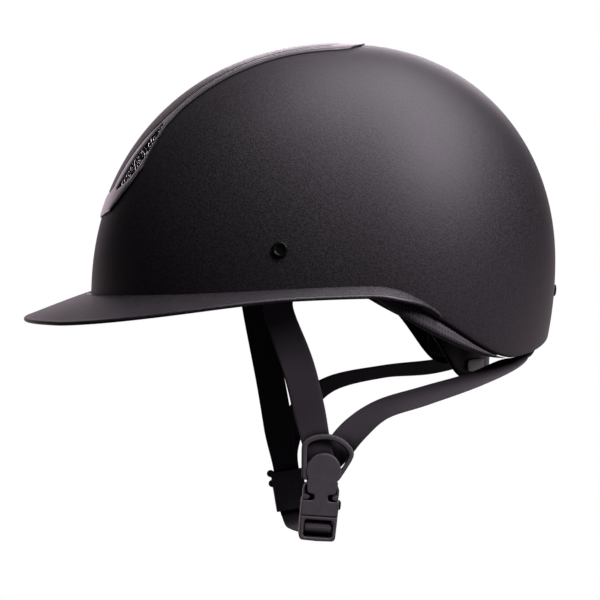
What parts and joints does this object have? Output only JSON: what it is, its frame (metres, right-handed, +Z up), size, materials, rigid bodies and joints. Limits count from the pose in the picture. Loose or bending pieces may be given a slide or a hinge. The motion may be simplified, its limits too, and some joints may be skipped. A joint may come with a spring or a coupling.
{
  "type": "riding helmet",
  "caption": "Riding helmet with a domed shell, a wide peak, vented front trim, padded lining, nape cradle and a webbing harness that closes with a side release buckle",
  "frame": {"origin": "the middle of the wearer's head, level with the root of the peak at the front", "axes": "-X is the front of the helmet, -Y the wearer's left and +Z up; the shell is the same on both sides of the XZ plane"},
  "size_m": [0.3181, 0.2352, 0.2955],
  "materials": {
    "shell_paint": "matte charcoal paint with a fine speckle",
    "gloss_trim": "dark chrome gloss",
    "black_mesh": "black woven screen",
    "black_gloss": "gloss black",
    "foam": "matte black moulded foam",
    "lining": "dark padded cloth",
    "cradle_plastic": "satin black",
    "pale_plastic": "pale bare patch",
    "webbing": "woven webbing",
    "buckle_plastic": "moulded satin black"
  },
  "bodies": {
    "helmet": {"outer_shell": "shell_paint", "peak": "shell_paint", "trim_frame": "gloss_trim", "crown_panel": "shell_paint", "vent_mesh": "black_mesh", "side_rivets": "black_gloss", "rear_rivet": "black_gloss", "eps_liner": "foam", "rim_lining": "lining", "headband": "lining", "crown_pad": "lining", "nape_cradle": "cradle_plastic", "nape_pad": "lining", "nape_tab": "pale_plastic", "left_front_strap": "webbing", "left_rear_strap": "webbing", "right_front_strap": "webbing", "right_rear_strap": "webbing", "buckle_housing": "buckle_plastic", "strap_divider": "buckle_plastic", "chin_strap": "webbing"},
    "clip": {"buckle_clip": "buckle_plastic", "strap_end_cap": "buckle_plastic"},
    "prong_front": {"prong_front": "buckle_plastic"},
    "prong_rear": {"prong_rear": "buckle_plastic"}
  },
  "joints": [
    {"name": "buckle_release", "type": "slide", "parent": "helmet", "child": "clip", "axis": [-0.0812, 0.1374, -0.9872], "range_m": [0, 0.02], "deforming": ["chin_strap", "prong_front", "prong_rear"]},
    {"name": "prong_front_squeeze", "type": "hinge", "parent": "clip", "child": "prong_front", "pos_m": [-0.01603, -0.06834, -0.12264], "axis": [0.0113, 0.9905, 0.137], "range_deg": [0, 9], "stiffness_Nm_per_rad": 0.004},
    {"name": "prong_rear_squeeze", "type": "hinge", "parent": "clip", "child": "prong_rear", "pos_m": [-0.00088, -0.06834, -0.12388], "axis": [-0.0113, -0.9905, -0.137], "range_deg": [0, 9], "stiffness_Nm_per_rad": 0.004}
  ],
  "couplings": [
    {"joint": "prong_rear_squeeze", "follows": "prong_front_squeeze", "ratio": 1}
  ]
}
